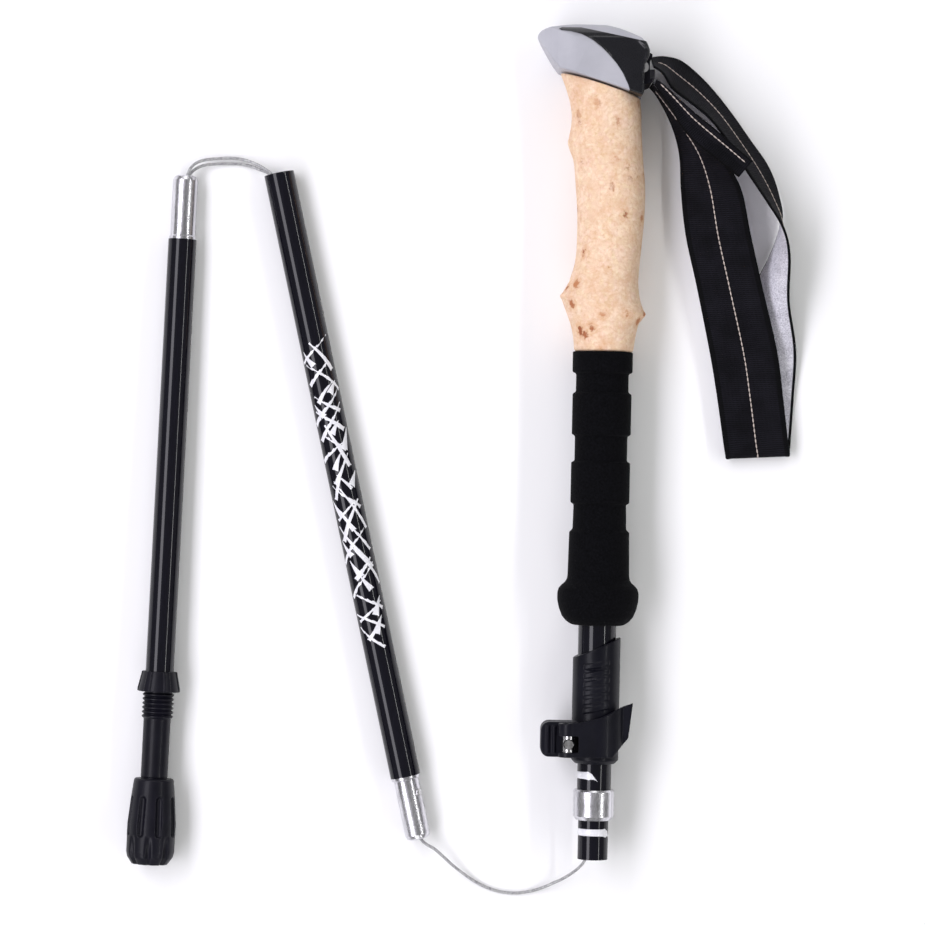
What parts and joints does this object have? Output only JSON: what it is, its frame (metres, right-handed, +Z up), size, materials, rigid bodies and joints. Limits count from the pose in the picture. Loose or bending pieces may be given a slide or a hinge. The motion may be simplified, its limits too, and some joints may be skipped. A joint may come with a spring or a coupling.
{
  "type": "trekking pole",
  "caption": "Folding trekking pole in cable-linked sections, with a cork and foam grip, wrist strap, lever clamp and rubber tip.",
  "frame": {"origin": "centre of the base of the whole object's box, cable runs left out, on the surface it lies on", "axes": "+X across the three sections, from the tip section to the handle; +Y along the pole, towards the grip head; +Z up from the surface"},
  "size_m": [0.3569, 0.4624, 0.0432],
  "materials": {
    "cork_grip": "satin",
    "grip_head": "matte",
    "rubber_tip": "matte",
    "foam_sleeve": "matte",
    "strap": "woven",
    "cable": "gloss",
    "tube": "gloss",
    "metal": "polished",
    "steel": "bright",
    "plastic": "satin",
    "insert": "gloss",
    "wedge": "matte"
  },
  "bodies": {
    "handle": {"cork_grip": "cork_grip", "grip_head": "grip_head", "head_insert_front": "insert", "head_insert_back": "insert", "head_plug": "plastic", "foam_sleeve": "foam_sleeve", "strap_pin": "steel", "upper_tube": "tube", "clamp_body": "plastic", "clamp_barrel": "steel", "clamp_nut": "steel"},
    "clamp_screw": {"clamp_screw": "steel"},
    "lever": {"clamp_lever": "plastic"},
    "adjuster": {"adjust_tube": "tube", "adjust_bush": "plastic", "end_ring": "metal"},
    "tension_tube": {"tension_tube": "tube", "cable_anchor": "steel", "anchor_cable": "cable"},
    "middle": {"middle_tube": "tube", "middle_ferrule": "metal", "button_spring": "steel", "middle_end_ring": "metal", "middle_cable": "cable", "upper_run": "cable"},
    "button": {"snap_button": "steel"},
    "lower": {"lower_tube": "tube", "lower_ferrule": "metal", "cable_stop": "steel", "lower_cable": "cable", "basket_stop": "plastic", "tip_body": "plastic", "carbide_tip": "steel", "lower_run_a": "cable", "lower_run_b": "cable"},
    "rubber_tip": {"rubber_tip": "rubber_tip"},
    "strap": {"strap_root": "strap", "strap_loop": "strap", "strap_tail": "strap"},
    "wedge": {"strap_wedge": "wedge"}
  },
  "joints": [
    {"name": "length_slide", "type": "slide", "parent": "handle", "child": "adjuster", "axis": [-0.0208, -0.9998, 0], "range_m": [0, 0.19]},
    {"name": "tension_slide", "type": "slide", "parent": "adjuster", "child": "tension_tube", "axis": [-0.0208, -0.9998, 0], "range_m": [0, 0.06]},
    {"name": "upper_fold", "type": "hinge", "parent": "tension_tube", "child": "middle", "pos_m": [0.02328, -0.20993, 0.01492], "axis": [-0.1469, -0.0137, 0.9891], "range_deg": [0, 167.1], "deforming": ["upper_run"]},
    {"name": "lower_fold", "type": "hinge", "parent": "middle", "child": "lower", "pos_m": [-0.12265, 0.14297, 0.00751], "axis": [0.0218, -0.0067, -0.9997], "range_deg": [0, 165.22], "deforming": ["lower_run_a", "lower_run_b"]},
    {"name": "lever_pivot", "type": "hinge", "parent": "handle", "child": "lever", "pos_m": [0.05568, -0.15652, 0.03505], "axis": [-0.0208, -0.9998, 0], "range_deg": [0, 120]},
    {"name": "screw_turn", "type": "hinge", "parent": "handle", "child": "clamp_screw", "pos_m": [0.05568, -0.15652, 0.0215], "axis": [0, 0, 1], "continuous": true},
    {"name": "button_press", "type": "slide", "parent": "middle", "child": "button", "axis": [-0.8017, -0.1682, -0.5736], "range_m": [0, 0.0015], "stiffness_N_per_m": 600},
    {"name": "rubber_tip_pull", "type": "slide", "parent": "lower", "child": "rubber_tip", "axis": [-0.0515, -0.9985, 0.0166], "range_m": [0, 0.05]},
    {"name": "strap_swing", "type": "hinge", "parent": "handle", "child": "strap", "pos_m": [0.0947, 0.1983, 0.0215], "axis": [0, 0, 1], "range_deg": [-6, 20]},
    {"name": "wedge_slide", "type": "slide", "parent": "strap", "child": "wedge", "axis": [0.85, -0.5268, 0], "range_m": [0, 0.003]}
  ]
}
